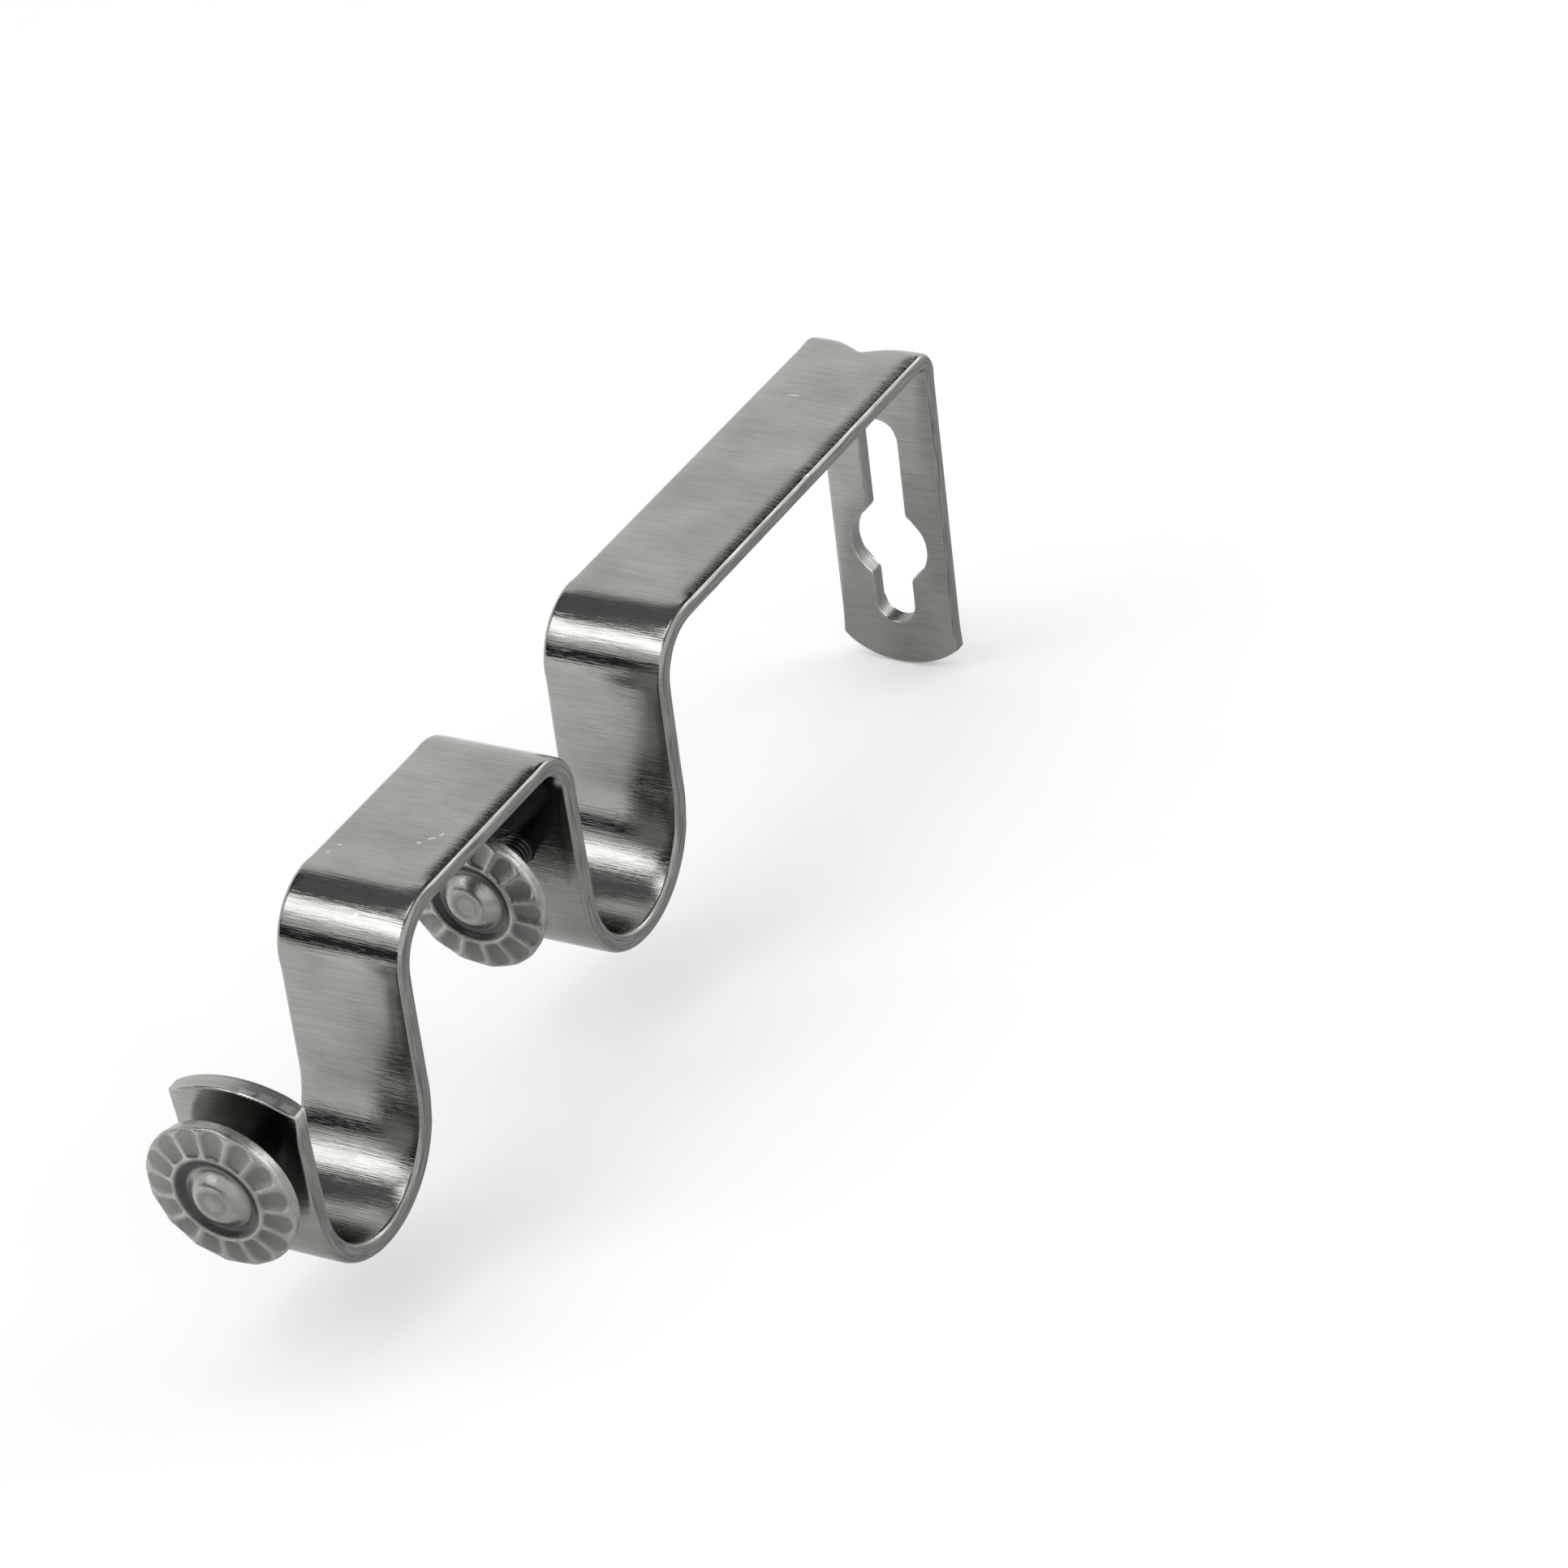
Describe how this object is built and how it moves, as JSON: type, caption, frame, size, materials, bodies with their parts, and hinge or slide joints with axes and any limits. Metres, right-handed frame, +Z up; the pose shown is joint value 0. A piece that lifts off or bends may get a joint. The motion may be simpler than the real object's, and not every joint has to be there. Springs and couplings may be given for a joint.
{
  "type": "curtain pole bracket",
  "caption": "Double curtain pole bracket bent from flat bar, with a keyhole wall plate and a rosette thumb screw at each pole cradle.",
  "frame": {"origin": "centre of the round part of the keyhole, on the wall face of the plate", "axes": "+X across the bar, +Y into the wall so that the bracket stands out towards -Y, +Z up"},
  "size_m": [0.0228, 0.1992, 0.0575],
  "materials": {
    "brushed_bar": "brushed across the bar, clear satin nickel tone",
    "screw_steel": "plain zinc-plated machine thread",
    "antique_casting": "cast zinc alloy with a darkened, rubbed pewter finish"
  },
  "bodies": {
    "bracket": {"bracket_strip": "brushed_bar"},
    "rear_stud": {"rear_screw_stud": "screw_steel"},
    "rear_head": {"rear_screw_head": "antique_casting"},
    "front_stud": {"front_screw_stud": "screw_steel"},
    "front_head": {"front_screw_head": "antique_casting"}
  },
  "joints": [
    {"name": "rear_screw_slide", "type": "slide", "parent": "bracket", "child": "rear_stud", "axis": [0, 0.9994, 0.0349], "range_m": [-0.00161, 0.01041]},
    {"name": "rear_screw_turn", "type": "hinge", "parent": "rear_stud", "child": "rear_head", "pos_m": [0, -0.11709, 0.01542], "axis": [0, 0.9994, 0.0349], "range_deg": [-720, 4680]},
    {"name": "front_screw_slide", "type": "slide", "parent": "bracket", "child": "front_stud", "axis": [0, 0.9986, 0.0523], "range_m": [-0.00161, 0.00401]},
    {"name": "front_screw_turn", "type": "hinge", "parent": "front_stud", "child": "front_head", "pos_m": [0, -0.19086, 0.01196], "axis": [0, 0.9986, 0.0523], "range_deg": [-720, 1800]}
  ],
  "couplings": [
    {"joint": "rear_screw_slide", "follows": "rear_screw_turn", "m_per_rad": 0.00012732},
    {"joint": "front_screw_slide", "follows": "front_screw_turn", "m_per_rad": 0.00012732}
  ]
}
